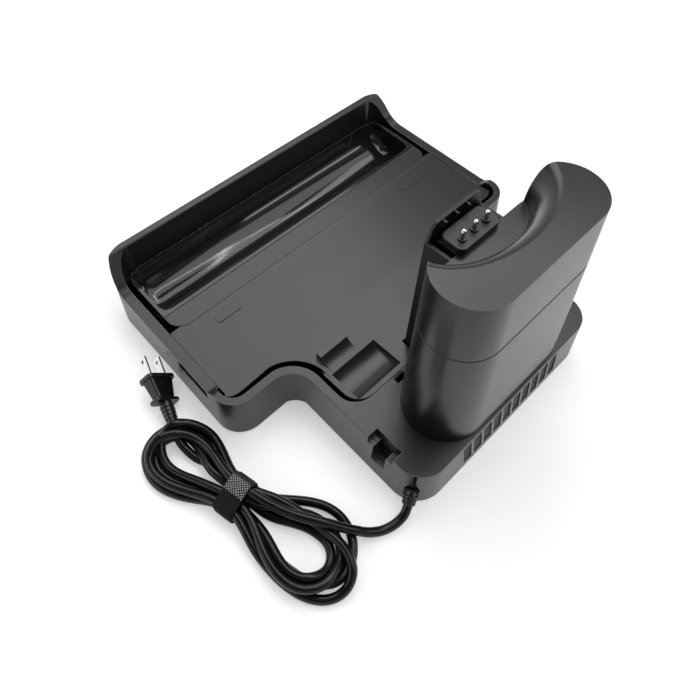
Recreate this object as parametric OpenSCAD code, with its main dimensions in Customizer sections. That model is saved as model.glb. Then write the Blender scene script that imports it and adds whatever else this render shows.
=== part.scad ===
// Charging station for a cordless floor cleaner: low tray base, removable
// cleaning tray, contact post, mains cord and plug. Millimetres.
// X is the width, Y runs from the tray front to the rear grille, Z is up.

/* [Base housing] */
// Width of the tray at its rim
tray_w = 300; // [280:1:320]
// Depth of the whole base at its rim
base_d = 280; // [270:1:295]
// Depth of the narrow rear part behind the tray
back_d = 121.5; // [118:0.5:125]
// Width of the rear platform at its rim
platform_w = 188; // [180:1:196]
// Height of the front wall
front_h = 61; // [52:1:70]
// Height of the rear rim and of the platform
rim_h = 40; // [38:0.5:44]
// Height of the end walls between their two steps
strip_h = 34.5; // [31:0.5:37]
// Outward flare of the walls at the floor
draft = 3; // [1:0.5:5]
// Thickness of the front and rear rim
rim_t = 5.5; // [4:0.5:7]
// Thickness of the end walls
strip_t = 7.5; // [6:0.5:9]
// Radius of the front corners
front_r = 22; // [16:1:28]
// Radius of the rear corners of the tray
rear_r = 17; // [13:1:20]
// Radius of the platform corners
platform_r = 19.5; // [15:0.5:24]
// Radius of the hollow curve from tray to platform
neck_r = 19.5; // [14:0.5:22]
// Underside of the base floor
floor_z = 3.5; // [2.5:0.5:4.5]
// Thickness of the base floor
floor_t = 3; // [2:0.5:3.5]
// Clearance of the skirt above the ground
skirt_z = 1; // [0.5:0.25:2]
// Length of the finger recess in each end wall
recess_l = 33; // [24:1:38]
// Width of the partition behind the cleaning tray
partition_t = 6; // [4:0.5:7]

/* [Rear grille] */
// Number of slanted groups of holes
grille_groups = 10; // [6:1:12]
// Pitch of the groups
grille_pitch = 10.7; // [9.5:0.1:12]
// Sideways slant of a group from bottom to top
grille_slant = 5; // [2:0.5:7]
// Lower edge of the grille
grille_low = 8; // [6:0.5:12]
// Height of the grille
grille_h = 28; // [20:0.5:29]
// Width of the solid bar between two groups
grille_bar = 2.4; // [1.6:0.1:3.4]
// Size of one hole across its corners
hole_d = 1.5; // [1:0.1:1.8]

/* [Cleaning tray] */
// Wall thickness of the cleaning tray
insert_t = 2.5; // [2:0.1:3]
// Length of the trough part along X
trough_w = 275; // [262:1:280]
// Radius of the trough
trough_r = 25.3; // [22:0.1:27]
// Distance of the trough axis from the front face
trough_y = 32; // [30:0.5:35]
// Distance of the tray floor from the front face
insert_step = 77; // [70:1:82]
// Height of the tray floor behind the ledge
insert_low = 33.8; // [32:0.1:36]
// Distance of the rear seam from the rear face
cover_d = 67; // [64:0.5:72]
// Width of the neck of the cleaning tray
insert_neck = 168; // [160:1:170]
// Radius of the rear corners of the neck
insert_r = 14; // [10:0.5:18]
// Length and depth of the two grip pads
pad_l = 20; // [14:1:26]
pad_d = 6.4; // [4:0.2:9]
// Length of a wheel cradle
cradle_l = 41; // [34:1:42]
// Radius of a wheel cradle
cradle_r = 20; // [18:0.5:24]
// Depth of a wheel cradle
cradle_h = 5; // [3:0.5:5.5]
// Length of a wheel stop
stop_l = 25; // [18:1:30]
// Height of a wheel stop above the floor
stop_h = 6; // [4:0.5:8]

/* [Platform cover] */
// Thickness of the cover
cover_t = 3; // [2.5:0.25:4]
// Height of the visible edge of the cover
cover_edge = 1; // [0.6:0.1:1.6]
// Width of the head of the accessory socket
slot_head = 22.5; // [18:0.5:24]
// Width of the throat of the accessory socket
slot_throat = 11.7; // [8:0.1:14]
// Depth of the head of the accessory socket
slot_head_h = 7; // [5:0.5:9]
// Depth of the accessory socket
slot_h = 24; // [16:1:25]

/* [Post] */
// Height of the top of the post
post_h = 180; // [172:1:190]
// Drop of the parting seam below the shelf
seam_drop = 15; // [10:1:24]
// Half length of the straight part at the foot and at the top
foot_half = 39; // [36:0.5:41]
top_half = 38.5; // [37:0.5:42]
// Radius of the round ends at the foot and at the top
foot_r = 29.5; // [28:0.5:30]
top_r = 24; // [21:0.5:25]
// Forward shift of the top over the foot
post_lean = 5; // [1:0.5:6]
// Distance of the post centre from the platform rear
post_back = 31; // [30.5:0.25:32]
// Wall thickness of the post
post_t = 2.5; // [2:0.1:3]
// Height of the shelf in the head of the post
shelf_h = 152; // [148:1:156]
// Half width and depth of the curve of the pocket at the shelf
pocket_half = 44; // [41:0.5:45]
pocket_d = 24; // [18:0.5:26]
// Distance of the back of the pocket from the post centre
pocket_back = 9.5; // [8:0.1:12]
// Width of the rolled edge of the pocket
roll_w = 13; // [8:0.5:14]

/* [Front guide] */
// Width of the guide on the front of the post
guide_w = 48; // [42:1:50]
// Distance of the guide face in front of the post centre
guide_front = 50; // [46:0.5:51]
// Wall thickness of the guide
guide_t = 2; // [1.6:0.1:2.6]
// Rise of the comb wall over the shelf
comb_rise = 13; // [8:0.5:16]
// Half width of the top edge of the comb wall
comb_half = 15.6; // [12:0.2:18]
// Pitch of the gusset ribs
gusset_pitch = 10; // [8:0.5:12]

/* [Contacts] */
// Width, depth and height of the contact block
block_w = 35; // [33:0.5:38]
block_d = 17; // [14:0.5:18]
block_h = 5; // [4:0.25:6]
// Pitch of the contacts
pin_pitch = 10.45; // [9:0.05:11.5]
// Diameter of the round head and of the stem of a pin
pin_head = 3.4; // [3:0.1:3.8]
pin_stem = 2; // [1.8:0.05:2.2]
// Rise of the centre of the pin heads over the shelf
pin_rise = 11; // [10.4:0.1:12]
// Outer diameter of a contact sleeve
sleeve_d = 4.4; // [4.2:0.1:4.8]
// Diameter of the ring on top of a sleeve
ring_d = 5.5; // [5:0.1:6]
// Travel of the pins
pin_travel = 2; // [1:0.25:2.25]
// Wire diameter and number of turns of a contact spring
spring_wire = 0.35; // [0.3:0.01:0.4]
spring_turns = 6; // [5:1:7]

/* [Inside] */
// Width and depth of the power board
board_w = 132; // [120:1:136]
board_d = 46; // [40:1:48]
// Thickness of the boards
board_t = 1.6; // [1.2:0.1:2]
// Length, width and height of the transformer
trafo_l = 28; // [24:1:32]
trafo_d = 26; // [22:1:30]
trafo_h = 20; // [16:0.5:22]
// Diameter and height of the capacitors
cap_d = 12.5; // [10:0.5:13]
cap_h = 18; // [14:0.5:21]
// Diameter of the insulated wires
wire_d = 2.2; // [1.8:0.1:2.6]

/* [Fixings] */
// Diameter of a rubber foot
foot_d = 14; // [10:0.5:16]
// Shank diameter of a screw
screw_d = 2.9; // [2.5:0.1:3]
// Head diameter of a screw
screw_head = 5.6; // [5:0.1:6.2]

/* [Cord] */
// Diameter of the cord
cord_d = 6.4; // [5.6:0.1:6.8]
// Length of the strain relief
relief_l = 24; // [21:0.5:26]
// Number of strands side by side in the tie
strands = 4; // [3:1:5]
// Width of the tie along the cord
tie_w = 16; // [14:0.5:20]
// Thickness of the tie
tie_t = 1.3; // [1:0.1:1.8]

/* [Plug] */
// Width, thickness and length of the plug with its front flange
plug_w = 24; // [22:0.5:28]
plug_t = 14; // [12:0.5:15]
plug_l = 21; // [18:0.5:25]
// Length of the ribbed sleeve of the plug
plug_relief_l = 19; // [17:0.5:20]
// Pitch of the blades
blade_pitch = 12.7; // [12:0.1:13]
// Length, height and thickness of a blade
blade_l = 17; // [15:0.5:18.5]
blade_h = 6.4; // [5.5:0.1:6.8]
blade_t = 1.5; // [1.3:0.1:1.8]

/* [Hidden] */
$fn = 64;
e = 0.02;
gap = 0.3;
front_y = -base_d / 2;
rear_y = base_d / 2;
tray_rear = rear_y - back_d;
floor_top = floor_z + floor_t;
half_w = tray_w / 2;
half_p = platform_w / 2;
neck_x = half_p + neck_r;
neck_y = tray_rear + neck_r;
inner_w = half_w - strip_t;
inner_p = half_p - 6;
trough_cy = front_y + trough_y;
insert_y = front_y + insert_step;
insert_rear = rear_y - cover_d;
strip_end = tray_rear - 27.5;
seam_h = shelf_h - seam_drop;
comb_h = shelf_h + comb_rise;
pin_h = shelf_h + pin_rise;
insert_x = insert_neck / 2;
insert_wide = inner_w - gap;
cover_front = insert_rear + gap;
seam_y = tray_rear + 25.6;
cradle_y = insert_rear - 18.25;
cradle_x = 59.5;
stop_x = 65.5;
post_y = rear_y - post_back;
slot_y = rear_y - 36.75;
guide_y = post_y - guide_front;
pin_y = post_y - 32.5;
block_y = post_y - 34.5;
board_y = rear_y - 34;
board_z = floor_top + 3.5;
board_top = board_z + board_t;
ring_z = shelf_h + block_h;
sleeve_low = shelf_h - 14;
shoulder_z = shelf_h - 0.5;
flange_t = 2;
spring_low = sleeve_low + 1;
spring_high = shoulder_z - flange_t - 0.05;
screw_xy = [[74, rear_y - 58], [70.5, rear_y - 12]];
post_screw_xy = [[45, post_y - 13], [45, post_y + 13]];
feet_xy = [[half_w - 22, front_y + 22], [half_w - 22, tray_rear - 24],
           [half_p - 36, rear_y - 18]];
relief_dir = unit([12.2, 6.9, -8]);
relief_in = [86, rear_y - 11.7, 16];
relief_end = 16.1;
relief_start = relief_end - relief_l;
relief_out = relief_in + relief_end * relief_dir;
lead_pts = [relief_in + (relief_end - 4) * relief_dir, relief_out,
            [101.5, rear_y - 3.2, 6], [105.5, rear_y - 2.4, 4.4], [110, rear_y - 2.6, 3.6],
            [117, rear_y - 4.3, 3.4], [124, rear_y - 7.4, 3.6], [129.5, rear_y - 11.4, 4.4],
            [133.8, rear_y - 16.2, 6]];
lobe_front = [189, -2, 22];
lobe_rear = [162, 119, 25];
lobe_side = [146, 110, 19.5];
waist = [176.9, 53.2];
waist_turn = 12;
strand_pitch = cord_d + 0.1;
waist_w = strands * strand_pitch;
hank_h = tie_t + 2 * strand_pitch;
ridge_x = -strand_pitch;
plug_turn = -107;
plug_rise = 6.6;
plug_roll = 48;
plug_dir = [cos(plug_rise) * cos(plug_turn), cos(plug_rise) * sin(plug_turn), sin(plug_rise)];
plug_start = [178.4, -16.4, 7.95];

function arc(cx, cy, r, a, b, n) =
    [for (i = [0:n]) [cx + r * cos(a + (b - a) * i / n), cy + r * sin(a + (b - a) * i / n)]];
function unit(v) = v / norm(v);
function mix(a, b, t) = a + (b - a) * t;

// Height of the floor of the cleaning tray at a given y, rising to the rear
function floor_at(y) = insert_low
    + (rim_h - insert_low) * pow(max(0, y - insert_y) / (insert_rear - insert_y), 2);

// Size of the post at a given height
function post_t_at(z) = (z - rim_h) / (post_h - rim_h);
function post_half(z) = mix(foot_half, top_half, post_t_at(z));
function post_rad(z) = mix(foot_r, top_r, post_t_at(z));
function post_cy(z) = post_y - post_lean * post_t_at(z);

// Round route through chosen points
function spline(p, n) = [for (i = [0:len(p) - 2], k = [0:n - 1]) let (
        a = p[max(i - 1, 0)], b = p[i], c = p[i + 1], d = p[min(i + 2, len(p) - 1)],
        t = k / n)
    b + 0.5 * ((c - a) * t + (2 * a - 5 * b + 4 * c - d) * t * t
               + (3 * b - a - 3 * c + d) * t * t * t)];
function route(p, n) = concat(spline(p, n), [p[len(p) - 1]]);
function along(p, i) = unit(p[min(i + 1, len(p) - 1)] - p[max(i - 1, 0)]);

// Tube swept along a route
module tube(p, r, n, up) {
    rings = [for (i = [0:len(p) - 1]) let (
            t = along(p, i), s = unit(cross(t, up)), u = cross(s, t))
        for (k = [0:n - 1]) p[i] + r * (cos(360 * k / n) * s + sin(360 * k / n) * u)];
    loft(rings, n);
}

// Closed solid through rings of n points each
module loft(rings, n) {
    m = len(rings) / n;
    sides = [for (i = [0:m - 2], k = [0:n - 1], h = [0:1]) let (
            a = i * n + k, b = i * n + (k + 1) % n)
        h == 0 ? [a, b, b + n] : [a, b + n, a + n]];
    low = [for (k = [n - 1:-1:0]) k];
    high = [for (k = [0:n - 1]) (m - 1) * n + k];
    polyhedron(points = rings, faces = concat(sides, [low, high]), convexity = 6);
}

module rrect(w, d, r) {
    square([w - 2 * r, d], center = true);
    square([w, d - 2 * r], center = true);
    for (x = [-1, 1], y = [-1, 1])
        translate([x * (w / 2 - r), y * (d / 2 - r)])
            circle(r = r);
}

// Rounded rectangle between two y values
module slab(w, ya, yb, r) {
    translate([0, (ya + yb) / 2])
        rrect(w, yb - ya, r);
}

module both() {
    children();
    mirror([1, 0, 0])
        children();
}

// Block with flared walls, four corner radii in front and rear pairs
module flared(hw, ya, yb, ra, rb, h) {
    hull() {
        for (s = [-1, 1]) {
            corner(s * (hw - ra), ya + ra, ra, h);
            corner(s * (hw - rb), yb - rb, rb, h);
        }
    }
}

module corner(x, y, r, h) {
    low = draft * (1 - skirt_z / rim_h);
    translate([x, y, skirt_z])
        cylinder(h = h - skirt_z, r1 = r + low, r2 = r, $fn = 48);
}

// Post outline between two heights, drawn in by a wall thickness
function post_ring(z, inset) = [for (q = concat(
        arc(post_half(z), post_cy(z), post_rad(z) - inset, 90, -90, 24),
        arc(-post_half(z), post_cy(z), post_rad(z) - inset, 270, 90, 24))) [q[0], q[1], z]];

module post_form(za, zb, inset) {
    loft(concat(post_ring(za, inset), post_ring(zb, inset)), 50);
}

// Ring of the pocket outline, grown by g
function pocket_ring(z, g) = [for (q = concat(
        [[-pocket_half - g, -70]],
        [for (a = [180:-6:0]) [(pocket_half + g) * cos(a),
                               (pocket_d + g) * sin(a) - pocket_back - pocket_d]],
        [[pocket_half + g, -70]])) [q[0], post_y + q[1], z]];

module pocket(low, extra) {
    roll = [for (a = [0:10:90]) [low + (post_h - shelf_h) * sin(a), roll_w * (1 - cos(a))]];
    steps = concat(roll, [[post_h + 5, roll_w]]);
    loft([for (s = steps, q = pocket_ring(s[0], s[1] + extra)) q], 33);
}

module along_plug(d) {
    translate(plug_start + d * plug_dir)
        rotate([0, 0, plug_turn])
            rotate([0, 90 - plug_rise, 0])
                rotate([0, 0, plug_roll])
                    children();
}

// Base housing

module base_housing() {
    color([0.09, 0.09, 0.1])
        difference() {
            housing_body();
            housing_room();
            end_recess();
            grille();
            cord_notch();
            for (s = [-1, 1])
                scale_x(s)
                    slot_cut(half_p - 12, 40);
            translate([-guide_w / 2 - 2, insert_rear - 13, rim_h - 8])
                cube([guide_w + 4, 30, 20]);
            for (s = [-1, 1], p = screw_xy)
                translate([s * p[0], p[1], 0])
                    cylinder(h = floor_top + 2, d = screw_d + 0.3);
        }
}

module scale_x(s) {
    if (s > 0)
        children();
    else
        mirror([1, 0, 0])
            children();
}

module housing_body() {
    difference() {
        union() {
            flared(half_w, front_y, tray_rear, front_r, rear_r, rim_h);
            translate([0, 0, rim_h - e])
                linear_extrude(front_h - rim_h + e)
                    front_outline();
        }
        end_profile();
        skirt_hollow(half_w - 4, front_y + 4, tray_rear - 4, rear_r);
    }
    difference() {
        flared(half_p, tray_rear - 98.5, rear_y, platform_r, platform_r, rim_h);
        translate([-half_p - 10, seam_y, rim_h - cover_edge])
            cube([2 * half_p + 20, base_d, 5]);
        skirt_hollow(half_p - 4, tray_rear - 98.5, rear_y - 4, platform_r);
        skirt_hollow(half_w - 4, front_y + 4, tray_rear - 4, rear_r);
    }
    both()
        neck_fill();
    for (s = [-1, 1], y = [-1, 1])
        translate([s * (board_w / 2 - 5), board_y + y * (board_d / 2 - 5), floor_z])
            cylinder(h = board_z - floor_z, d = 7);
    partition();
}

module front_outline() {
    for (s = [-1, 1])
        translate([s * (half_w - front_r), front_y + front_r])
            circle(r = front_r);
    translate([-half_w + front_r, front_y])
        square([tray_w - 2 * front_r, 2 * front_r]);
    translate([-half_w, front_y + front_r])
        square([tray_w, 10]);
}

// Room above the steps of the end walls
module end_profile() {
    p = concat(
        [[front_y + 3.4, front_h + 10]],
        arc(front_y + 3.4, front_h - 2.5, 2.5, 90, 29, 5),
        arc(front_y + 30.7, strip_h + 18.5, 18.5, 209, 270, 10),
        [[strip_end, strip_h], [strip_end + 3, strip_h + 0.8],
         [strip_end + 7, rim_h - 0.8], [strip_end + 10, rim_h],
         [tray_rear + 20, rim_h], [tray_rear + 20, front_h + 10]]);
    translate([-half_w - 20, 0, 0])
        rotate([90, 0, 90])
            linear_extrude(tray_w + 40)
                polygon(p);
}

// Recess of the underside
module skirt_hollow(hw, ya, yb, r) {
    translate([0, 0, -5])
        linear_extrude(floor_z + 5)
            slab(2 * hw, ya, yb, r);
}

// Filled corner with its hollow curve between the tray and the platform
module neck_fill() {
    difference() {
        translate([half_p - 20, tray_rear - 20, floor_z])
            cube([neck_r + 19.7, neck_r + 19.7, rim_h - floor_z]);
        neck_cone();
    }
}

module neck_cone() {
    translate([neck_x, neck_y, 0])
        cylinder(h = rim_h, r1 = neck_r - draft, r2 = neck_r);
    translate([neck_x, neck_y, rim_h - e])
        cylinder(h = 10, r = neck_r);
}

module housing_room() {
    translate([0, 0, floor_top])
        linear_extrude(front_h) {
            slab(2 * inner_w, front_y + rim_t, strip_end + 6, front_r - rim_t);
            translate([-inner_w, front_y + front_r])
                square([2 * inner_w, strip_end + 6 - front_y - front_r]);
            difference() {
                slab(2 * (half_w - 5), strip_end + 3, tray_rear - rim_t, rear_r - 5);
                translate([-half_w, strip_end - 31])
                    square([tray_w, 36]);
            }
            translate([-half_w + 5, strip_end + 5])
                square([tray_w - 10, 3]);
            translate([-inner_p, strip_end - 11])
                square([2 * inner_p, insert_rear - partition_t - strip_end + 11 + e]);
            both()
                neck_room();
            slab(2 * (half_p - 3.5), insert_rear + 2, rear_y - 3.5, 8);
        }
    translate([0, 0, rim_h - cover_t - e])
        linear_extrude(front_h)
            slab(2 * inner_p, strip_end + 19, cover_front, 16);
}

// Hollow corner of the room beside the neck
module neck_room() {
    difference() {
        translate([inner_p - 10, tray_rear - rim_t - 10])
            square([neck_r + 15.5, neck_r + 15]);
        translate([neck_x, neck_y])
            circle(r = neck_r + 6);
        translate([inner_p, neck_y])
            square([60, 60]);
    }
}

// Wall between the cleaning tray and the power supply
module partition() {
    translate([-half_p + 3, insert_rear - partition_t, floor_z])
        cube([platform_w - 6, partition_t + 2 + e, rim_h - cover_t - floor_z]);
}

// Finger grip cut in below the top edge of each end wall
module end_recess() {
    both()
        translate([0, 0, strip_h - 9.2])
            linear_extrude(8)
                polygon([[half_w - 3.8, strip_end - recess_l], [half_w + 5, strip_end - recess_l - 2],
                         [half_w + 5, strip_end + 2], [half_w - 1.5, strip_end]]);
}

// Slanted groups of fine holes in the rear wall
module grille() {
    bar = grille_pitch - grille_bar;
    first = -(grille_groups - 1) * grille_pitch / 2;
    translate([0, rear_y + draft + 1, 0])
        rotate([90, 0, 0])
            for (g = [0:grille_groups - 1])
                translate([first + g * grille_pitch, 0, 0]) {
                    translate([0, 0, -5])
                        linear_extrude(draft * (1 - (grille_low + grille_h) / rim_h) + 6.5)
                            grille_window(bar);
                    linear_extrude(12)
                        grille_holes(bar);
                }
}

module grille_window(bar) {
    s = grille_slant / 2;
    polygon([[-bar / 2 - s, grille_low], [bar / 2 - s, grille_low],
             [bar / 2 + s, grille_low + grille_h], [-bar / 2 + s, grille_low + grille_h]]);
}

module grille_holes(bar) {
    rows = 8;
    step = (grille_h - 3) / rows;
    for (r = [0:rows - 1], c = [0:1])
        translate([(c - 0.5) * bar * 0.5 + (r % 2 - 0.5) * bar * 0.25
                   + grille_slant * ((r + 0.5) / rows - 0.5),
                   grille_low + 1.5 + step * (r + 0.5)])
            circle(d = hole_d, $fn = 6);
}

// Narrow notch above the cord, wider below
module cord_notch() {
    translate(relief_in)
        rotate([0, 0, atan2(relief_dir[1], relief_dir[0])]) {
            translate([-2, -1.2, -2])
                cube([24, 2.4, 40]);
            translate([-2, 0, 0])
                rotate([90, 0, 90])
                    linear_extrude(24)
                        polygon([[-5.2, -10.4], [5.2, -10.4], [5.2, 2], [1.2, 12],
                                 [-1.2, 12], [-5.2, 2]]);
        }
}

// Accessory socket with a wide head and a narrow throat
module slot_cut(from, length) {
    translate([from, slot_y - slot_head / 2, rim_h - slot_head_h])
        cube([length, slot_head, 20]);
    translate([from, slot_y - slot_throat / 2, rim_h - slot_h])
        cube([length, slot_throat, 30]);
}

// Cleaning tray

module cleaning_tray() {
    color([0.11, 0.11, 0.12]) {
        difference() {
            union() {
                front_trough();
                tray_floor();
                both() {
                    wheel_parts();
                    pads();
                }
            }
            both()
                cradle_cut();
            guide_notch();
        }
    }
}

// Round-ended trough hung from a ledge with a fine groove behind it
module front_trough() {
    edge = front_y + rim_t + 1;
    difference() {
        intersection() {
            union() {
                trough_form(trough_r + insert_t);
                translate([0, 0, strip_h - insert_t])
                    linear_extrude(insert_t + 1)
                        slab(trough_w + 4, edge - 2, insert_y + 3, 8);
                translate([-trough_w / 2 + 25, trough_cy + trough_r - 1, floor_top])
                    cube([trough_w - 50, insert_t, strip_h - floor_top - 1]);
            }
            translate([0, 0, 1])
                linear_extrude(strip_h - 1)
                    slab(trough_w, edge, insert_y + 0.5, 12.5);
        }
        trough_form(trough_r);
        translate([-half_w, trough_cy + trough_r + 3, strip_h - 0.6])
            cube([tray_w, 0.5, 2]);
    }
}

module trough_form(r) {
    reach = trough_w / 2 - insert_t - trough_r;
    translate([0, trough_cy, strip_h])
        rotate([0, 90, 0])
            rotate_extrude()
                polygon(concat(arc(0, reach, r, 0, 90, 10), arc(0, -reach, r, -90, 0, 10)));
}

// Floor that rises to its neck
module tray_floor() {
    middle = (insert_y + insert_rear) / 2;
    intersection() {
        translate([-half_w, 0, 0])
            rotate([90, 0, 90])
                linear_extrude(tray_w)
                    polygon(concat(
                        [[insert_y - 2, strip_h - 0.4], [insert_y + 0.2, strip_h - 0.4],
                         [insert_y + 2, floor_at(insert_y + 2)]],
                        [for (i = [1:12]) let (y = mix(insert_y + 2, insert_rear, i / 12))
                            [y, floor_at(y)]],
                        [[insert_rear, rim_h - insert_t],
                         [middle, floor_at(middle) - insert_t],
                         [insert_y - 2, insert_low - insert_t]]));
        linear_extrude(rim_h + 10)
            floor_outline();
    }
    for (x = [-110, -36, 36, 110])
        translate([x - 1, 0, 0])
            rotate([90, 0, 90])
                linear_extrude(2)
                    polygon([[insert_y + 13, floor_top], [tray_rear - 16, floor_top],
                             [tray_rear - 16, floor_at(tray_rear - 16) - 1],
                             [insert_y + 13, floor_at(insert_y) - 1]]);
}

module floor_outline() {
    shoulder = tray_rear - rim_t - 2;
    slab(2 * insert_wide, insert_y - 2, strip_end + 1, 2);
    difference() {
        slab(2 * insert_wide, strip_end - 31, shoulder, rear_r - 8);
        translate([-half_w, strip_end - 51])
            square([tray_w, 50]);
    }
    slab(2 * insert_x, strip_end - 41, insert_rear, insert_r);
    both()
        difference() {
            translate([insert_x - 5, shoulder - 5])
                square([neck_r + 14, neck_r + 14]);
            translate([neck_x, neck_y])
                circle(r = neck_r + 8);
            translate([insert_x, neck_y])
                square([60, 60]);
            translate([neck_x, shoulder])
                square([60, 60]);
        }
}

module wheel_parts() {
    translate([cradle_x - cradle_l / 2 - 2, cradle_y - 15, floor_at(cradle_y) - cradle_h - 2])
        cube([cradle_l + 4, 27, cradle_h + 1.4]);
    difference() {
        translate([stop_x - stop_l / 2, insert_rear - 49, floor_at(insert_rear - 49) - 1])
            cube([stop_l, 17, stop_h + 1]);
        translate([stop_x - stop_l, insert_rear - 32, floor_at(insert_rear - 32) + 17.2])
            rotate([0, 90, 0])
                cylinder(h = 2 * stop_l, r = 17.2);
    }
}

module cradle_cut() {
    translate([cradle_x - cradle_l / 2, cradle_y, floor_at(cradle_y) - cradle_h + cradle_r])
        rotate([0, 90, 0])
            cylinder(h = cradle_l, r = cradle_r);
}

module pads() {
    translate([100, insert_y + 12.2, floor_at(insert_y + 12) - 0.5])
        linear_extrude(1.2)
            rrect(pad_l, pad_d, 1);
}

module guide_notch() {
    translate([-guide_w / 2 - 1.5, guide_y - 1.5, 0])
        cube([guide_w + 3, 60, 100]);
}

// Platform cover

module platform_cover() {
    color([0.09, 0.09, 0.1])
        difference() {
            union() {
                translate([0, 0, rim_h - cover_edge])
                    linear_extrude(cover_edge)
                        cover_outline();
                translate([0, 0, rim_h - cover_t])
                    linear_extrude(cover_t - e)
                        intersection() {
                            cover_outline();
                            slab(2 * (half_p - 3.5 - gap), insert_rear + 2 + gap, rear_y - 3.5 - gap, 8);
                        }
                both()
                    slot_body();
                for (s = [-1, 1], p = screw_xy)
                    translate([s * p[0], p[1], floor_top])
                        cylinder(h = rim_h - floor_top - 1, d = 7);
            }
            both()
                slot_cut(half_p - 8.3, 40);
            for (s = [-1, 1], p = screw_xy)
                translate([s * p[0], p[1], 0])
                    cylinder(h = 24, d = screw_d + 0.1);
            for (s = [-1, 1], p = post_screw_xy)
                translate([s * p[0], p[1], 0])
                    cylinder(h = 60, d = screw_d + 0.1);
            translate([-guide_w / 2 - 0.5, cover_front - 5, rim_h - 12])
                cube([guide_w + 1, post_y - foot_r - cover_front + 5.3, 20]);
            translate([43, cover_front + 0.7, rim_h - 12])
                cube([9, 5.5, 20]);
            translate([-9, post_y - 9, rim_h - 12])
                cube([18, 18, 20]);
        }
}

module cover_outline() {
    difference() {
        slab(2 * half_p, tray_rear + 4, rear_y, platform_r);
        slab(2 * inner_p, tray_rear - 30, cover_front, 16);
        translate([-tray_w, seam_y - 100])
            square([2 * tray_w, 100]);
    }
}

module slot_body() {
    translate([half_p - 10.3, slot_y - slot_head / 2 - 2.2, rim_h - slot_h - 2])
        cube([10.3 - 3.5 - gap, slot_head + 4.4, slot_h + 1]);
}

// Post

module post_lower_shell() {
    color([0.1, 0.1, 0.11]) {
        difference() {
            union() {
                post_form(rim_h, seam_h - 2, 0);
                post_form(seam_h - 2 - e, seam_h, 0.35);
            }
            post_form(rim_h + post_t, seam_h + 1, post_t);
            translate([-17, post_y - 45, rim_h + 6])
                cube([34, 30, seam_h]);
            translate([-9, post_y - 9, 0])
                cube([18, 18, 60]);
            for (s = [-1, 1], p = post_screw_xy)
                translate([s * p[0], p[1], 0])
                    cylinder(h = 60, d = screw_d + 0.1);
        }
        for (s = [-1, 1], p = post_screw_xy)
            translate([s * p[0], p[1], rim_h + post_t - e])
                difference() {
                    cylinder(h = 14, d = 7);
                    translate([0, 0, -1])
                        cylinder(h = 20, d = screw_d + 0.1);
                }
    }
}

module post_upper_shell() {
    color([0.1, 0.1, 0.11]) {
        difference() {
            post_form(seam_h, post_h, 0);
            pocket(shelf_h, 0);
            difference() {
                post_form(seam_h - 1, post_h - post_t, post_t);
                pocket(shelf_h - post_t, post_t);
            }
            translate([-17, post_y - 45, seam_h - 5])
                cube([34, 25, shelf_h - post_t - seam_h + 5]);
        }
        difference() {
            translate([-block_w / 2, block_y - 8.5, shelf_h - post_t])
                cube([block_w, post_y - 22 - block_y + 8.5, post_t]);
            pin_places()
                cylinder(h = 300, d = sleeve_d + 0.04);
        }
    }
}

module post_front_guide() {
    color([0.1, 0.1, 0.11])
        difference() {
            union() {
                comb_wall();
                guide_sides();
                gussets();
            }
            post_form(rim_h - e, post_h, -0.04);
        }
}

module comb_wall() {
    lean = 2.3;
    intersection() {
        translate([-guide_w / 2, 0, 0])
            rotate([90, 0, 90])
                linear_extrude(guide_w)
                    polygon([[guide_y, rim_h - 7], [guide_y + lean, comb_h],
                             [guide_y + lean + guide_t, comb_h], [guide_y + guide_t, rim_h - 7]]);
        translate([0, 200, 0])
            rotate([90, 0, 0])
                linear_extrude(400)
                    polygon(concat(
                        [[-guide_w / 2, rim_h - 10], [guide_w / 2, rim_h - 10],
                         [guide_w / 2, shelf_h - 1]],
                        arc(comb_half, comb_h - 6, 6, 30, 90, 6),
                        arc(-comb_half, comb_h - 6, 6, 90, 150, 6),
                        [[-guide_w / 2, shelf_h - 1]]));
    }
}

module guide_sides() {
    both()
        translate([guide_w / 2 - guide_t, 0, 0])
            rotate([90, 0, 90])
                linear_extrude(guide_t)
                    polygon([[guide_y + 0.5, rim_h - 7], [guide_y + 2.2, shelf_h - 0.6],
                             [post_y - 20, shelf_h + 0.3], [post_y - 20, rim_h],
                             [post_y - foot_r, rim_h], [post_y - foot_r, rim_h - 7]]);
}

module gussets() {
    for (i = [-1:1])
        translate([i * gusset_pitch + 3 - 0.5, 0, 0])
            rotate([90, 0, 90])
                linear_extrude(1)
                    polygon([[guide_y + 2, comb_h - 0.5], [guide_y + 7.5, comb_h - 0.5],
                             [guide_y + 3.2, comb_h - 10], [guide_y + 2, comb_h - 10]]);
}

// Contacts

module pin_places() {
    for (x = [-1, 0, 1])
        translate([x * pin_pitch, pin_y, 0])
            children();
}

module contact_block() {
    color([0.12, 0.12, 0.13])
        difference() {
            translate([0, block_y, shelf_h])
                linear_extrude(block_h)
                    rrect(block_w, block_d, 4);
            pin_places()
                cylinder(h = 300, d = sleeve_d + 0.04);
        }
}

module contact_sleeves() {
    color([0.2, 0.2, 0.21])
        pin_places()
            difference() {
                union() {
                    translate([0, 0, sleeve_low])
                        cylinder(h = ring_z - sleeve_low + 0.2, d = sleeve_d);
                    translate([0, 0, ring_z])
                        cylinder(h = 1.3, d = ring_d);
                }
                cylinder(h = 300, d = pin_stem + 0.1);
                translate([0, 0, spring_low])
                    cylinder(h = shoulder_z - spring_low, d = sleeve_d - 1);
                translate([0, 0, sleeve_low - 1])
                    cylinder(h = 1, d = 10);
                translate([0, 0, ring_z + 0.6])
                    cylinder(h = 3, d = ring_d - 1.6);
            }
    color([0.2, 0.2, 0.21])
        pin_places()
            translate([0, 0, sleeve_low])
                cylinder(h = 1, d = sleeve_d - 0.5);
}

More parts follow.
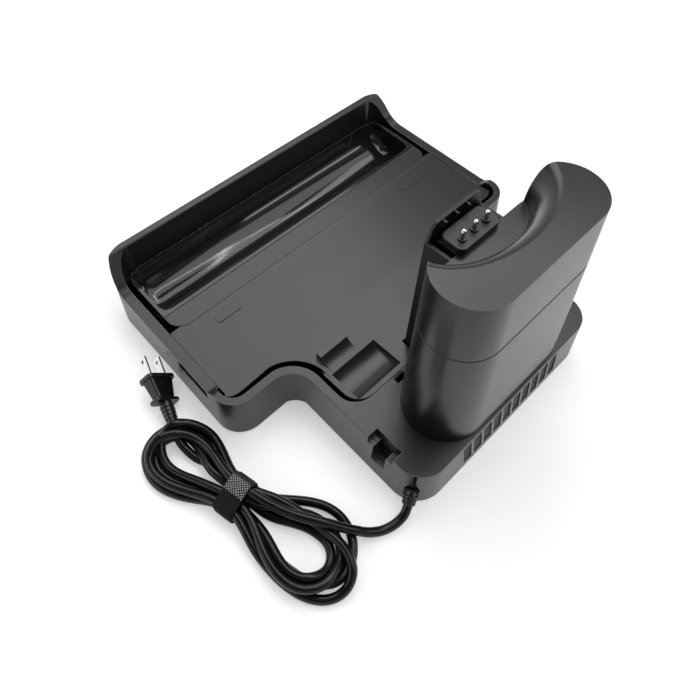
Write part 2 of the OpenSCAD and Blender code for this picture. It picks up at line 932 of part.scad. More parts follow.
module contact_pin(i) {
    color([0.86, 0.86, 0.87])
        translate([i * pin_pitch, pin_y, 0]) {
            translate([0, 0, spring_high + 0.5])
                cylinder(h = pin_h - spring_high - 0.5, d = pin_stem);
            translate([0, 0, pin_h])
                sphere(d = pin_head);
            translate([0, 0, spring_high])
                cylinder(h = flange_t, d = sleeve_d - 1.2);
        }
}

module contact_pin_left() {
    contact_pin(-1);
}

module contact_pin_center() {
    contact_pin(0);
}

module contact_pin_right() {
    contact_pin(1);
}

module contact_spring(i) {
    r = sleeve_d / 2 - 0.75 - spring_wire / 2;
    low = spring_low + spring_wire / 2;
    high = spring_high - spring_wire / 2;
    steps = spring_turns * 10;
    p = [for (k = [0:steps]) let (a = 36 * k, t = k / steps)
        [i * pin_pitch + r * cos(a), pin_y + r * sin(a), mix(low, high, t)]];
    color([0.7, 0.7, 0.72])
        tube(p, spring_wire / 2, 6, [0, 0, 1]);
}

module contact_spring_left() {
    contact_spring(-1);
}

module contact_spring_center() {
    contact_spring(0);
}

module contact_spring_right() {
    contact_spring(1);
}

module contact_board() {
    color([0.1, 0.3, 0.16])
        translate([0, pin_y + 0.5, sleeve_low - board_t])
            linear_extrude(board_t)
                rrect(block_w - 3, block_d - 2, 1);
}

// Power supply

module charge_wires() {
    color([0.6, 0.1, 0.1])
        for (s = [-1, 1])
            tube(route([[s * 5, pin_y, sleeve_low - board_t - 0.3],
                        [s * 5, pin_y + 1, sleeve_low - 10],
                        [s * 4, post_y - 14, sleeve_low - 26],
                        [s * 3.5, post_y - 2, 80], [s * 3.5, post_y, 46],
                        [s * 3.5, post_y, board_top + 0.01]], 5),
                 wire_d / 2, 8, [1, 0, 0]);
}

module power_board() {
    color([0.1, 0.3, 0.16])
        translate([0, board_y, board_z])
            linear_extrude(board_t)
                rrect(board_w, board_d, 2);
}

module transformer() {
    color([0.75, 0.65, 0.2])
        translate([-36, board_y, board_top]) {
            linear_extrude(4)
                rrect(trafo_l + 4, trafo_d + 2, 1);
            linear_extrude(trafo_h)
                rrect(trafo_l, trafo_d, 2);
        }
}

module capacitors() {
    color([0.15, 0.18, 0.3])
        for (x = [20, 36])
            translate([x, board_y - 10, board_top]) {
                cylinder(h = cap_h, d = cap_d - 0.6);
                translate([0, 0, 0.8])
                    cylinder(h = cap_h - 1.6, d = cap_d);
            }
}

module terminal_block() {
    color([0.2, 0.45, 0.25])
        translate([56, board_y + 8, board_top])
            difference() {
                translate([-5, -9, 0])
                    cube([10, 18, 11]);
                for (y = [-4.5, 4.5]) {
                    translate([0, y, 6])
                        cylinder(h = 10, d = 4.5);
                    translate([0, y, 4])
                        rotate([0, 90, 0])
                            cylinder(h = 10, d = wire_d + 0.6);
                }
            }
}

module mains_leads() {
    color([0.25, 0.25, 0.27])
        for (s = [-1, 1])
            tube(route([relief_in + (relief_start - 0.4) * relief_dir + s * [-0.7, 1.2, 0],
                        relief_in + (relief_start - 5) * relief_dir + s * [-0.7, 1.2, 0],
                        [71.5, board_y + 11 + 2.4 * s, board_top + 6],
                        [66, board_y + 8 + 4.5 * s, board_top + 4.2],
                        [61.5, board_y + 8 + 4.5 * s, board_top + 4],
                        [57.5, board_y + 8 + 4.5 * s, board_top + 4]], 4),
                 wire_d / 2, 8, [0, 0, 1]);
}

// Fixings

module screw(l) {
    cylinder(h = l, d = screw_d);
    translate([0, 0, -1.8])
        difference() {
            cylinder(h = 1.8, d = screw_head);
            translate([0, 0, -1])
                cylinder(h = 2, d = 2.4, $fn = 6);
        }
}

module base_screws() {
    color([0.55, 0.55, 0.57])
        for (s = [-1, 1], p = screw_xy)
            translate([s * p[0], p[1], floor_z])
                screw(16);
}

module post_screws() {
    color([0.55, 0.55, 0.57])
        for (s = [-1, 1], p = post_screw_xy)
            translate([s * p[0], p[1], rim_h - cover_t])
                screw(15);
}

module rubber_feet() {
    color([0.05, 0.05, 0.05])
        for (s = [-1, 1], p = feet_xy)
            translate([s * p[0], p[1], 0]) {
                cylinder(h = floor_z, d = foot_d - 1.6);
                translate([0, 0, 0.8])
                    cylinder(h = floor_z - 0.8, d = foot_d);
            }
}

// Cord

module along_relief(d) {
    tilt = acos(relief_dir[2] / norm(relief_dir));
    translate(relief_in + d * relief_dir)
        rotate([0, 0, atan2(relief_dir[1], relief_dir[0])])
            rotate([0, tilt, 0])
                children();
}

module cord_strain_relief() {
    color([0.06, 0.06, 0.06])
        difference() {
            union() {
                along_relief(relief_start)
                    cylinder(h = relief_l, r1 = 4.1, r2 = 3.8);
                for (i = [0:2])
                    along_relief(9.7 + 2.2 * i)
                        cylinder(h = 1.3, r = 5 - 0.2 * i);
                translate(relief_in)
                    rotate([0, 0, atan2(relief_dir[1], relief_dir[0])])
                        translate([4.9, -5.05, -10.2])
                            cube([2.5, 10.1, 11.7]);
            }
            along_relief(relief_end - 6)
                cylinder(h = 10, d = cord_d + 0.1);
        }
}

module cord_lead() {
    color([0.06, 0.06, 0.06])
        tube(route(lead_pts, 4), cord_d / 2, 12, [0, 0, 1]);
}

module hank_outline() {
    hull() {
        lobe(lobe_front);
        waist_bar();
    }
    hull() {
        lobe(lobe_rear);
        lobe(lobe_side);
        waist_bar();
    }
}

module lobe(c) {
    translate([c[0], c[1]])
        circle(r = c[2], $fn = 40);
}

module waist_bar() {
    translate(waist)
        rotate(waist_turn)
            square([waist_w, tie_w + 2], center = true);
}

module cord_hank() {
    color([0.06, 0.06, 0.06]) {
        difference() {
            linear_extrude(hank_h)
                hank_outline();
            tie_room();
        }
        tie_core();
    }
}

module tie_room() {
    translate([waist[0], waist[1], -1])
        rotate(waist_turn)
            translate([-30, -tie_w / 2 - e, 0])
                cube([60, tie_w + 2 * e, 40]);
}

// Outline of the strands in the tie, with the lead on top of the two rows
module strand_outline(grow) {
    r = cord_d / 2 + grow;
    side = (waist_w - strand_pitch) / 2;
    hull() {
        for (x = [-side, side], z = [tie_t + cord_d / 2, hank_h - cord_d / 2])
            translate([x, z])
                circle(r = r, $fn = 32);
        translate([ridge_x, hank_h + 0.87 * strand_pitch - cord_d / 2])
            circle(r = r, $fn = 32);
    }
}

module across_waist(length) {
    translate([waist[0], waist[1], 0])
        rotate(waist_turn)
            translate([0, length / 2, 0])
                rotate([90, 0, 0])
                    linear_extrude(length)
                        children();
}

module tie_core() {
    across_waist(tie_w + 1)
        strand_outline(0);
}

module cord_tie() {
    color([0.1, 0.1, 0.11])
        across_waist(tie_w)
            difference() {
                strand_outline(tie_t);
                strand_outline(0);
            }
}

// Plug

module plug_relief() {
    ribs = 5;
    pitch = (plug_relief_l - 4) / ribs;
    color([0.05, 0.05, 0.05]) {
        along_plug(0)
            cylinder(h = plug_relief_l - e, r1 = cord_d / 2 + 0.3, r2 = 4.4);
        for (i = [0:ribs - 1])
            along_plug(2.5 + i * pitch)
                cylinder(h = pitch * 0.6, r = 4.3 + 0.2 * i);
    }
}

module plug_section(w, t, h) {
    linear_extrude(h)
        rrect(t, w, t * 0.25);
}

module plug_body() {
    color([0.05, 0.05, 0.05]) {
        along_plug(plug_relief_l) {
            plug_section(plug_w - 3, plug_t - 4, 2.2);
            hull() {
                translate([0, 0, 2])
                    plug_section(plug_w - 10, plug_t - 6, 0.1);
                translate([0, 0, plug_l - 2.8])
                    plug_section(plug_w - 3, plug_t - 3, 0.1);
            }
            translate([0, 0, plug_l - 2.7 - e])
                plug_section(plug_w, plug_t, 2.7);
        }
    }
}

module plug_blades() {
    color([0.85, 0.84, 0.8])
        along_plug(plug_relief_l + plug_l)
            for (s = [-1, 1])
                translate([0, s * blade_pitch / 2, blade_l / 2])
                    difference() {
                        cube([blade_h, blade_t, blade_l], center = true);
                        translate([0, 0, blade_l / 2 - 3.5])
                            rotate([90, 0, 0])
                                cylinder(h = 10, d = 3.1, center = true);
                    }
}

base_housing();
cleaning_tray();
platform_cover();
post_lower_shell();
post_upper_shell();
post_front_guide();
contact_block();
contact_sleeves();
contact_pin_left();
contact_pin_center();
contact_pin_right();
contact_spring_left();
contact_spring_center();
contact_spring_right();
contact_board();
charge_wires();
power_board();
transformer();
capacitors();
terminal_block();
mains_leads();
base_screws();
post_screws();
rubber_feet();
cord_strain_relief();
cord_lead();
cord_hank();
cord_tie();
plug_relief();
plug_body();
plug_blades();
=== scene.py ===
import itertools
import math

import bmesh
import bpy
import numpy as np
from mathutils import Matrix, Vector


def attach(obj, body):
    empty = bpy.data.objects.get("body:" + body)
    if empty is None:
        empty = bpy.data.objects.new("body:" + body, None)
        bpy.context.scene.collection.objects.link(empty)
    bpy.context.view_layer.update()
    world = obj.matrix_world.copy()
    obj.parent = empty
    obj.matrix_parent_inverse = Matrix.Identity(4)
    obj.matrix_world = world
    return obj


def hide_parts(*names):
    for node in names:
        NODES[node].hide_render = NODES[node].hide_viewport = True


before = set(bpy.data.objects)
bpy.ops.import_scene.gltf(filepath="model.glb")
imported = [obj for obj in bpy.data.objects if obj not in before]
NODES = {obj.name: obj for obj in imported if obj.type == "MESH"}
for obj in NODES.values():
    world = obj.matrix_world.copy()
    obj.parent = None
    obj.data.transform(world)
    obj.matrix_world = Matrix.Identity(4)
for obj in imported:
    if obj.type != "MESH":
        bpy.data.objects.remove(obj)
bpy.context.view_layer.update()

MM = 0.001

# Camera, solved from the photograph: place in metres, its three axes, lens in mm
CAMERA_AT = Vector((0.20804, 0.18779, 0.41376))
CAMERA_RIGHT = Vector((-0.72150, 0.69232, 0.01134))
CAMERA_UP = Vector((-0.55720, -0.59025, 0.58407))
CAMERA_BACK = Vector((0.41106, 0.41509, 0.81162))
CAMERA_LENS = 30.95
CAMERA_SHIFT_Y = -0.0929

# Cord, in mm
CORD_D = 6.4
CORD_R = CORD_D / 2
CORD_STEP = 3.2
CURVE_STEP = 2.4
PITCH = CORD_D + 0.1

# Least bend radius of the cord, and how far a stretch of twice WIDE steps may bow at that radius
BEND_LEAST = 20.0
WIDE = 3
BOW_MOST = (WIDE * CORD_STEP) ** 2 / (2 * BEND_LEAST)

# How the cord settles: rounds, fall and pull to its route in each, and its stiffness at the start, for
# the first share of the rounds and after it
ROUNDS = 300
FALL = 0.12
TO_ROUTE = 0.08
EARLY = 0.6
STIFF = {"start": 60.0, "early": 20.0, "late": 8.0}

# How its turns are kept apart: the gap between them, the gap to the floor, how near a pair is watched,
# how many steps its points are apart at least, rounds between two searches, and passes in a round
GAP = 0.05
FLOOR_GAP = 0.1
WATCHED = CORD_D + 5
STEPS_APART = 6
SEARCH_EVERY = 5
PASSES = 4

# Tie, in mm: its thickness, width, the way round it, and where the cord leaves it
TIE_T = 1.3
TIE_W = 16.0
TIE_ROUND = 95.0
MOUTH = TIE_W / 2 + 1
WAIST = (176.9, 53.2)
WAIST_TURN = math.radians(12)
LOW = TIE_T + CORD_R
HIGH = LOW + PITCH
ON_TOP = HIGH + 0.87 * PITCH

# Trough of the tray: where its round ends begin, its middle, its inner and outer radius, and how
# square its ends are
TROUGH_REACH = 109.70
TROUGH_Y = -108.0
TROUGH_R = (25.3, 27.80)
LEDGE_Z = 34.5
SQUARE = 9.0

# Neck circle of the tray's outline, how much wider Blender makes the groove along it, and the height
# from which the neck is reshaped
NECK = (113.50, 38.00)
NECK_R = 27.50
GROOVE = 4.3
NECK_LOW = 24.0

# Rear corner of the tray: centre and radius of its round, how far across and back its straight edge
# lies, and how far the round moves out and the edge moves in
CORNER = (133.0, 2.0)
CORNER_R = 9.2
EDGE_AT = (102.0, 14.0)
CORNER_OUT = 1.0
EDGE_IN = 3.3

# Rear corner of the base's room for the tray: the middle, radius and least height of its round, and
# how far it moves in
ROOM_Y = 6.0
ROOM_R = 12.0
ROOM_LOW = 20.0
ROOM_IN = 5.0

# Points this near to a radius lie on it
NEAR = 0.15

# Rear grille: windows, their pitch, bars, slant, foot and height
GRILLE_N = 10
GRILLE_PITCH = 10.7
GRILLE_BAR = 2.4
GRILLE_SLANT = 5.0
GRILLE_LOW = 8.0
GRILLE_H = 28.0

# Mesh in the windows: rows and columns of holes, their radius, the reach of the face round one as
# shares of its width and height, and the depths of the face and back under the wall
ROWS = 21
COLUMNS = 5
HOLE = 0.58
REACH = (0.577, 0.667)
FACE_IN = 0.8
BACK_IN = 1.9

# Drafted rear wall: where it stands at the floor, and how much it leans in for each mm up
WALL_FOOT = 143.0
WALL_LEAN = 0.075

# Faces of the tie: how far its middle bulges, its edge is rounded off, and how wide its inner face is
BULGE = 0.16
ROUND_OFF = 0.25
INNER_SHARE = 0.985

# Where each pass lies in the tie: across and up
SLOTS = [(-PITCH, ON_TOP), (1.5 * PITCH, HIGH), (-1.5 * PITCH, HIGH), (0.5 * PITCH, HIGH),
         (-0.5 * PITCH, HIGH), (0.5 * PITCH, LOW), (-0.5 * PITCH, LOW),
         (1.5 * PITCH, LOW), (-1.5 * PITCH, LOW)]

# Each end loop: its centre along and across, its radius and its height
FRONT_LOOPS = [(-51, 3, 19.5, 15), (-51.5, -4, 19.5, 10), (-50, 0, 19.5, 6), (-55, 1, 20.5, 4)]
REAR_LOOPS = [(72, 3, 20, 15), (64, 1, 20, 12), (58, 2, 20, 6), (61, -9, 24, 4)]

# The free lead from the strain relief to the bundle, and the end at the plug
LEAD = [(98.2, 135.2, 8), (101.5, 136.8, 6), (105.5, 137.6, 4.4), (110, 137.4, 3.6),
        (117, 135.7, 3.4), (124, 132.6, 3.6), (129.5, 128.6, 5.4), (133.8, 123.8, 9),
        (140.5, 116.5, 14.5), (147, 107, 17), (154, 95, 18), (160.5, 82, 18), (166, 70, 18)]
LAST_TURN = (-26, -12.5, 3.6)
PLUG_START = (178.4, -16.4, 7.95)
PLUG_DIR = (-0.2904, -0.9499, 0.1149)


# Small helpers

def link(obj):
    bpy.context.scene.collection.objects.link(obj)
    return obj


def mesh_object(name, verts, faces, smooth=True):
    mesh = bpy.data.meshes.new(name)
    mesh.from_pydata([tuple(v) for v in verts], [], faces)
    mesh.validate()
    if smooth:
        mesh.polygons.foreach_set("use_smooth", [True] * len(mesh.polygons))
    return link(bpy.data.objects.new(name, mesh))


def from_bmesh(name, bm):
    mesh = bpy.data.meshes.new(name)
    bm.to_mesh(mesh)
    bm.free()
    return link(bpy.data.objects.new(name, mesh))


# Camera

def make_camera():
    cam = link(bpy.data.objects.new("camera", bpy.data.cameras.new("camera")))
    turn = Matrix((CAMERA_RIGHT, CAMERA_UP, CAMERA_BACK)).transposed()
    cam.matrix_world = Matrix.Translation(CAMERA_AT) @ turn.to_4x4()
    cam.data.lens = CAMERA_LENS
    cam.data.shift_y = CAMERA_SHIFT_Y
    cam.data.clip_start, cam.data.clip_end = 0.01, 50
    bpy.context.scene.camera = cam


# Materials

THREAD_SLANTS = (24, -62)
POLISHED_TO = -0.0805


def material(name, base, rough, metallic=0.0, specular=0.5):
    mat = bpy.data.materials.new(name)
    mat.use_nodes = True
    shader = mat.node_tree.nodes["Principled BSDF"]
    shader.inputs["Base Color"].default_value = (*base, 1)
    shader.inputs["Roughness"].default_value = rough
    shader.inputs["Metallic"].default_value = metallic
    shader.inputs["Specular IOR Level"].default_value = specular
    return mat


def add(owner, kind, **inputs):
    """A node in the tree of a material or world"""
    node = owner.node_tree.nodes.new(kind)
    for key, value in inputs.items():
        node.inputs[key.replace("_", " ")].default_value = value
    return node


def wire(owner, source, target):
    owner.node_tree.links.new(source, target)


def combine(owner, operation, one, two):
    node = add(owner, "ShaderNodeMath")
    node.operation = operation
    wire(owner, one, node.inputs[0])
    wire(owner, two, node.inputs[1])
    return node.outputs["Value"]


def shader_of(mat):
    return mat.node_tree.nodes["Principled BSDF"]


def noise(mat, scale, detail=4.0, rough=0.5):
    place = add(mat, "ShaderNodeTexCoord")
    node = add(mat, "ShaderNodeTexNoise", Scale=scale, Detail=detail, Roughness=rough)
    wire(mat, place.outputs["Object"], node.inputs["Vector"])
    return node


def ramp(owner, source, low, high, at=(0.3, 0.7)):
    node = add(owner, "ShaderNodeMapRange", From_Min=at[0], From_Max=at[1], To_Min=low, To_Max=high)
    wire(owner, source, node.inputs["Value"])
    return node.outputs["Result"]


def mix_colour(mat, factor, one, two):
    node = add(mat, "ShaderNodeMix")
    node.data_type = "RGBA"
    node.inputs["A"].default_value = (*one, 1)
    node.inputs["B"].default_value = (*two, 1)
    wire(mat, factor, node.inputs["Factor"])
    return node.outputs["Result"]


def edge_mask(mat, radius, gain):
    """1 along edges and 0 on flat faces, and the node that rounds the edges"""
    bevel = add(mat, "ShaderNodeBevel", Radius=radius)
    bevel.samples = 6
    geometry = add(mat, "ShaderNodeNewGeometry")
    dot = add(mat, "ShaderNodeVectorMath")
    dot.operation = "DOT_PRODUCT"
    wire(mat, bevel.outputs["Normal"], dot.inputs[0])
    wire(mat, geometry.outputs["Normal"], dot.inputs[1])
    return ramp(mat, dot.outputs["Value"], 1.0, 0.0, at=(1 - gain, 1.0)), bevel


def moulded(name, base, rough, grain=0.25, grain_scale=2600.0, edge=0.0006, spread=0.05, wear_and_edge_highlight=0.09):
    """Satin moulded plastic: fine spark grain, soft cloudy gloss, and a painted highlight that lightens the
    open edges
    """
    mat = material(name, base, rough)
    shader = shader_of(mat)
    cloud = noise(mat, 28.0, 3.0)
    wire(mat, ramp(mat, cloud.outputs["Fac"], rough - spread, rough + spread), shader.inputs["Roughness"])
    mask, bevel = edge_mask(mat, edge, 0.12)
    shade = add(mat, "ShaderNodeAmbientOcclusion", Distance=0.003)
    shade.samples = 6
    # Painted highlight: the colour is lightened along open edges, where rounded edges would catch light,
    # and the AO keeps it off hollow edges
    highlight_edges = combine(mat, "MULTIPLY", mask, ramp(mat, shade.outputs["AO"], 0.0, 1.0, at=(0.75, 0.95)))
    edge_highlight_colour = tuple(min(1.0, c + wear_and_edge_highlight) for c in base)
    wire(mat, mix_colour(mat, highlight_edges, base, edge_highlight_colour), shader.inputs["Base Color"])
    fine = noise(mat, grain_scale, 2.0)
    bump = add(mat, "ShaderNodeBump", Strength=grain, Distance=0.000012)
    wire(mat, fine.outputs["Fac"], bump.inputs["Height"])
    wire(mat, bevel.outputs["Normal"], bump.inputs["Normal"])
    wire(mat, bump.outputs["Normal"], shader.inputs["Normal"])
    return mat


def rubber(name, base, rough):
    """Soft cord jacket: fine grain, uneven gloss and a dull bloom"""
    mat = material(name, base, rough, specular=0.3)
    shader = shader_of(mat)
    cloud = noise(mat, 60.0, 5.0)
    wire(mat, ramp(mat, cloud.outputs["Fac"], rough - 0.06, rough + 0.08), shader.inputs["Roughness"])
    bloom = tuple(c * 1.5 + 0.001 for c in base)
    wire(mat, mix_colour(mat, ramp(mat, cloud.outputs["Fac"], 0.0, 1.0), base, bloom),
         shader.inputs["Base Color"])
    fine = noise(mat, 1400.0, 3.0)
    bump = add(mat, "ShaderNodeBump", Strength=0.2, Distance=0.00001)
    wire(mat, fine.outputs["Fac"], bump.inputs["Height"])
    wire(mat, bump.outputs["Normal"], shader.inputs["Normal"])
    return mat


def metal(name, base, rough, scale=900.0):
    """Turned or stamped metal: fine specks and uneven polish"""
    mat = material(name, base, rough, metallic=1.0)
    shader = shader_of(mat)
    cloud = noise(mat, scale, 4.0, 0.7)
    wire(mat, ramp(mat, cloud.outputs["Fac"], rough * 0.7, rough * 1.5), shader.inputs["Roughness"])
    wear_and_edge_highlight = tuple(c * 0.8 for c in base)
    wire(mat, mix_colour(mat, ramp(mat, cloud.outputs["Fac"], 0.0, 1.0), base, wear_and_edge_highlight),
         shader.inputs["Base Color"])
    return mat


def thread_pattern(mat, pitch, turn):
    """Light thread tops that cross at a slant, 1 on the threads"""
    place = add(mat, "ShaderNodeTexCoord")
    waves = []
    for slant in THREAD_SLANTS:
        spin = add(mat, "ShaderNodeMapping", Rotation=(0, 0, turn + math.radians(slant)))
        wave = add(mat, "ShaderNodeTexWave", Scale=math.tau / 20 / pitch, Distortion=2.5, Detail=2.0)
        wire(mat, place.outputs["Object"], spin.inputs["Vector"])
        wire(mat, spin.outputs["Vector"], wave.inputs["Vector"])
        waves.append(wave.outputs["Fac"])
    return combine(mat, "MULTIPLY", *waves)


def woven(name, base, light, scale, pitch=None):
    """Hook-and-loop tape: crossed threads with loose light fibres"""
    mat = material(name, base, 0.85, specular=0.2)
    shader = shader_of(mat)
    place = add(mat, "ShaderNodeTexCoord")
    threads = add(mat, "ShaderNodeTexVoronoi", Scale=scale)
    wire(mat, place.outputs["Object"], threads.inputs["Vector"])
    fibre = noise(mat, scale * 1.7, 6.0, 0.8)
    mask = ramp(mat, fibre.outputs["Fac"], 0.0, 1.0, at=(0.42, 0.68))
    if pitch:
        mask = ramp(mat, thread_pattern(mat, pitch, WAIST_TURN), 0.0, 1.0, at=(0.12, 0.55))
    wire(mat, mix_colour(mat, mask, base, light), shader.inputs["Base Color"])
    bump = add(mat, "ShaderNodeBump", Strength=0.9, Distance=0.0004)
    wire(mat, threads.outputs["Distance"], bump.inputs["Height"])
    wire(mat, bump.outputs["Normal"], shader.inputs["Normal"])
    return mat


def polished_front(mat, edge_y, rough):
    """Glossier in front of a line across the part, where the mould was polished"""
    shader = shader_of(mat)
    plain = shader.inputs["Roughness"].links[0].from_socket
    place = add(mat, "ShaderNodeTexCoord")
    parts = add(mat, "ShaderNodeSeparateXYZ")
    wire(mat, place.outputs["Object"], parts.inputs[0])
    behind = ramp(mat, parts.outputs["Y"], 0.0, 1.0, at=(edge_y - MM / 2, edge_y + MM / 2))
    mixed = add(mat, "ShaderNodeMix")
    mixed.inputs["A"].default_value = rough
    wire(mat, behind, mixed.inputs["Factor"])
    wire(mat, plain, mixed.inputs["B"])
    wire(mat, mixed.outputs["Result"], shader.inputs["Roughness"])
    return mat


# Each moulded plastic's edge amount is a painted highlight that lightens the colour along its open edges
MATS = {
    "shell": moulded("shell_plastic", (0.0070, 0.0072, 0.008), 0.31, spread=0.01, wear_and_edge_highlight=0.2),
    "tray": polished_front(moulded("tray_plastic", (0.009, 0.0097, 0.011), 0.3, spread=0.008),
                           POLISHED_TO, 0.1),
    "post": moulded("post_plastic", (0.0055, 0.0058, 0.0068), 0.28, spread=0.008, wear_and_edge_highlight=0.15),
    "guide": moulded("guide_plastic", (0.0015, 0.0015, 0.0018), 0.5),
    "block": moulded("block_plastic", (0.01, 0.0105, 0.012), 0.4, grain=0.4),
    "sleeve": moulded("sleeve_plastic", (0.012, 0.012, 0.013), 0.3),
    "contact": metal("contact_plate", (0.86, 0.85, 0.83), 0.16),
    "spring": metal("spring_wire", (0.6, 0.6, 0.6), 0.25),
    "board": moulded("board_laminate", (0.015, 0.09, 0.03), 0.3),
    "wire": rubber("wire_jacket", (0.05, 0.05, 0.055), 0.4),
    "tape": moulded("tape_wrap", (0.5, 0.36, 0.05), 0.35),
    "can": metal("can_metal", (0.5, 0.52, 0.56), 0.3),
    "terminal": moulded("terminal_plastic", (0.02, 0.12, 0.05), 0.4),
    "screw": metal("screw_steel", (0.55, 0.55, 0.56), 0.3),
    "foot": rubber("foot_rubber", (0.012, 0.012, 0.012), 0.7),
    "cord": rubber("cord_jacket", (0.0025, 0.0025, 0.0027), 0.24),
    "plug": moulded("plug_vinyl", (0.0035, 0.0035, 0.0038), 0.33, grain=0.3, grain_scale=1800.0,
                    wear_and_edge_highlight=0.04),
    "grille": moulded("grille_plastic", (0.006, 0.006, 0.007), 0.5, edge=0.0002),
    "blade": metal("blade_metal", (0.9, 0.89, 0.87), 0.3),
    "tape_hook": woven("tie_hook", (0.012, 0.012, 0.013), (0.33, 0.335, 0.34), 900.0, pitch=0.0015),
    "tape_smooth": woven("tie_smooth", (0.004, 0.004, 0.0045), (0.012, 0.012, 0.013), 1500.0),
    "tape_dark": woven("tie_loop", (0.006, 0.006, 0.0065), (0.07, 0.07, 0.073), 1100.0),
}

NODE_MATS = {
    "base_housing": "shell", "cleaning_tray": "tray", "platform_cover": "shell",
    "post_lower_shell": "post", "post_upper_shell": "post", "post_front_guide": "guide",
    "contact_block": "block", "contact_sleeves": "sleeve",
    "contact_pin_left": "contact", "contact_pin_center": "contact", "contact_pin_right": "contact",
    "contact_spring_left": "spring", "contact_spring_center": "spring",
    "contact_spring_right": "spring", "contact_board": "board", "charge_wires": "wire",
    "power_board": "board", "transformer": "tape", "capacitors": "can",
    "terminal_block": "terminal", "mains_leads": "wire", "base_screws": "screw",
    "post_screws": "screw", "rubber_feet": "foot", "cord_strain_relief": "plug",
    "plug_relief": "plug", "plug_body": "plug", "plug_blades": "blade",
    "cord_lead": "cord", "cord_hank": "cord", "cord_tie": "tape_smooth",
}

# Shells that Blender rounds: their nodes, and the width of their rounded edges in mm
ROUNDED = {"base_housing": 0.45, "cleaning_tray": 0.4, "platform_cover": 0.4, "post_lower_shell": 0.3,
           "post_upper_shell": 0.5, "post_front_guide": 0.4, "contact_block": 0.4}


# Grille

def wall_y(z):
    """Where the leaning rear wall is at a height, in millimetres"""
    return WALL_FOOT - WALL_LEAN * z


def window_point(g, x, z, deep):
    """Point of a window: x from its middle, z up and a depth under the wall, in millimetres"""
    lean = GRILLE_SLANT * ((z - GRILLE_LOW) / GRILLE_H - 0.5)
    return Vector(((g - (GRILLE_N - 1) / 2) * GRILLE_PITCH + lean + x, wall_y(z) - deep, z)) * MM


def grille_tool():
    """The ten slanted windows of the rear wall"""
    bm = bmesh.new()
    half = (GRILLE_PITCH - GRILLE_BAR) / 2
    for g in range(GRILLE_N):
        v = [bm.verts.new(window_point(g, x, z, deep))
             for z in (GRILLE_LOW, GRILLE_LOW + GRILLE_H) for x in (-half, half) for deep in (12, -3)]
        for corners in ((0, 2, 6, 4), (1, 5, 7, 3), (0, 1, 3, 2), (4, 6, 7, 5), (0, 4, 5, 1), (2, 3, 7, 6)):
            bm.faces.new([v[k] for k in corners])
    bmesh.ops.recalc_face_normals(bm, faces=bm.faces)
    return from_bmesh("grille_tool", bm)


def add_hole(bm, g, x, z, reach):
    """One six-sided hole of a window's mesh, with its share of the face round it"""
    hexagon = [(math.sin(math.tau * k / 6), math.cos(math.tau * k / 6)) for k in range(6)]
    rings = []
    for wide, high, deep in ((*reach, FACE_IN), (HOLE, HOLE, FACE_IN), (HOLE, HOLE, BACK_IN)):
        rings.append([bm.verts.new(window_point(g, x + a * wide, z + b * high, deep))
                      for a, b in hexagon])
    for one, two in zip(rings, rings[1:]):
        for k in range(6):
            n = (k + 1) % 6
            bm.faces.new((one[k], one[n], two[n], two[k]))


def make_grille():
    """Fine staggered holes in the slanted windows of the rear wall"""
    bm = bmesh.new()
    step, pitch = GRILLE_H / ROWS, (GRILLE_PITCH - GRILLE_BAR) / (COLUMNS + 0.5)
    for g, r, c in itertools.product(range(GRILLE_N), range(ROWS), range(COLUMNS)):
        x = (c - (COLUMNS - 1) / 2 + (0.25 if r % 2 else -0.25)) * pitch
        z = GRILLE_LOW + (r + 0.5) * step
        add_hole(bm, g, x, z, (pitch * REACH[0], step * REACH[1]))
    bmesh.ops.remove_doubles(bm, verts=bm.verts, dist=0.00001)
    grille = from_bmesh("grille_mesh", bm)
    grille.data.materials.append(MATS["grille"])
    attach(grille, "station")


# Shells

def dress_nodes():
    for node, key in NODE_MATS.items():
        mesh = NODES[node].data
        mesh.materials.clear()
        mesh.materials.append(MATS[key])


def bevel_edges(obj, width):
    """Joins flat facets, rounds the edges and evens the shading"""
    plain = obj.modifiers.new("plain", "DECIMATE")
    plain.decimate_type = "DISSOLVE"
    plain.angle_limit = math.radians(0.3)
    bevel = obj.modifiers.new("bevel", "BEVEL")
    bevel.width = width * MM
    bevel.segments = 3
    bevel.limit_method = "ANGLE"
    bevel.angle_limit = math.radians(38)
    even = obj.modifiers.new("even", "WEIGHTED_NORMAL")
    even.mode = "FACE_AREA"
    even.keep_sharp = True


def smooth_normals(obj):
    mesh = obj.data
    if "custom_normal" in mesh.attributes:
        mesh.attributes.remove(mesh.attributes["custom_normal"])
    mesh.shade_smooth()
    mesh.set_sharp_from_angle(angle=math.radians(32))


def cut_away(obj, tool):
    """Takes the tool's shape out of a piece, and the tool out of the scene"""
    cut = obj.modifiers.new("cut", "BOOLEAN")
    cut.operation = "DIFFERENCE"
    cut.solver = "EXACT"
    cut.object = tool
    graph = bpy.context.evaluated_depsgraph_get()
    mesh = bpy.data.meshes.new_from_object(obj.evaluated_get(graph))
    obj.modifiers.clear()
    obj.data = mesh
    bpy.data.objects.remove(tool)


def remake(node, reshape=None, tool=None):
    """A copy of a shell with smooth normals and rounded edges, in the place of its node"""
    source = NODES[node]
    bm = bmesh.new()
    bm.from_mesh(source.data)
    bm.transform(source.matrix_world)
    bmesh.ops.remove_doubles(bm, verts=bm.verts, dist=0.00002)
    if reshape:
        reshape(bm)
        bmesh.ops.remove_doubles(bm, verts=bm.verts, dist=0.00001)
    obj = from_bmesh(node + "_shell", bm)
    if tool:
        cut_away(obj, tool)
    smooth_normals(obj)
    obj.data.materials.clear()
    obj.data.materials.append(MATS[NODE_MATS[node]])
    bevel_edges(obj, ROUNDED[node])
    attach(obj, "station")
    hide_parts(node)


